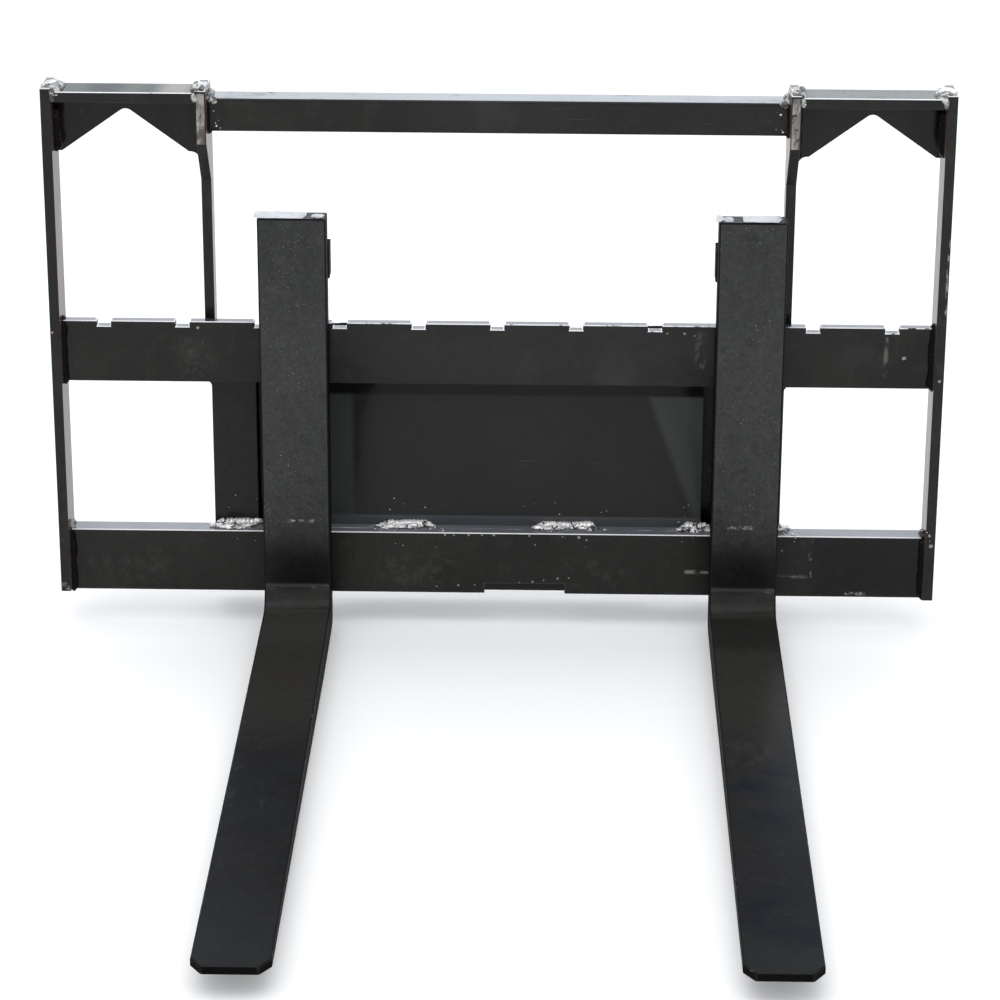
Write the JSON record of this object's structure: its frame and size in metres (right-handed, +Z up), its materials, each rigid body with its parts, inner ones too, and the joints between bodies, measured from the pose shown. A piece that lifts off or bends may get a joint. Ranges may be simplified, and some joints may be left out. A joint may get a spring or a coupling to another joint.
{
  "type": "pallet fork attachment",
  "caption": "Walk-through pallet fork frame: welded carriage with notched fork bars, two sliding hook-on forks with spring lock pins, and a rear quick coupler.",
  "frame": {"origin": "centre of the bounding box at ground level, under the carriage and blades", "axes": "+X to the right seen from the blade tips, +Y from the blade tips back towards the carrier, +Z up"},
  "size_m": [1.25, 1.208, 0.7925],
  "materials": {
    "frame_paint": "gloss black paint",
    "fork_paint": "semi-gloss black paint over forged scale",
    "zinc_steel": "zinc plated"
  },
  "bodies": {
    "frame": {"centre_panel": "frame_paint", "centre_tube": "frame_paint", "coupler_floor": "frame_paint", "coupler_lip": "frame_paint", "coupler_plate": "frame_paint", "coupler_side_left": "frame_paint", "coupler_side_right": "frame_paint", "inner_rib_left": "frame_paint", "inner_rib_right": "frame_paint", "inner_upright_left": "frame_paint", "inner_upright_right": "frame_paint", "lower_fork_bar": "frame_paint", "outer_rib_left": "frame_paint", "outer_rib_right": "frame_paint", "outer_upright_left": "frame_paint", "outer_upright_right": "frame_paint", "side_strap_left": "frame_paint", "side_strap_right": "frame_paint", "upper_fork_bar": "frame_paint", "wing_bar_left": "frame_paint", "wing_bar_right": "frame_paint", "wing_gusset_left": "frame_paint", "wing_gusset_right": "frame_paint"},
    "left_fork": {"bottom_hook_left": "frame_paint", "fork_left": "fork_paint", "lock_cap_left": "zinc_steel", "lock_housing_left": "frame_paint", "lock_spring_left": "zinc_steel", "top_hook_left": "frame_paint"},
    "right_fork": {"bottom_hook_right": "frame_paint", "fork_right": "fork_paint", "lock_cap_right": "zinc_steel", "lock_housing_right": "frame_paint", "lock_spring_right": "zinc_steel", "top_hook_right": "frame_paint"},
    "left_lock": {"lock_pin_left": "zinc_steel", "pull_handle_left": "zinc_steel", "roll_pin_left": "zinc_steel"},
    "right_lock": {"lock_pin_right": "zinc_steel", "pull_handle_right": "zinc_steel", "roll_pin_right": "zinc_steel"}
  },
  "joints": [
    {"name": "left_fork_slide", "type": "slide", "parent": "frame", "child": "left_fork", "axis": [1, 0, 0], "range_m": [-0.2685, 0.2335]},
    {"name": "right_fork_slide", "type": "slide", "parent": "frame", "child": "right_fork", "axis": [1, 0, 0], "range_m": [-0.3025, 0.1995]},
    {"name": "left_lock_lift", "type": "slide", "parent": "left_fork", "child": "left_lock", "axis": [0, 0, 1], "range_m": [0, 0.01], "stiffness_N_per_m": 1500, "springref_m": -0.01, "deforming": ["lock_spring_left"]},
    {"name": "right_lock_lift", "type": "slide", "parent": "right_fork", "child": "right_lock", "axis": [0, 0, 1], "range_m": [0, 0.01], "stiffness_N_per_m": 1500, "springref_m": -0.01, "deforming": ["lock_spring_right"]}
  ]
}
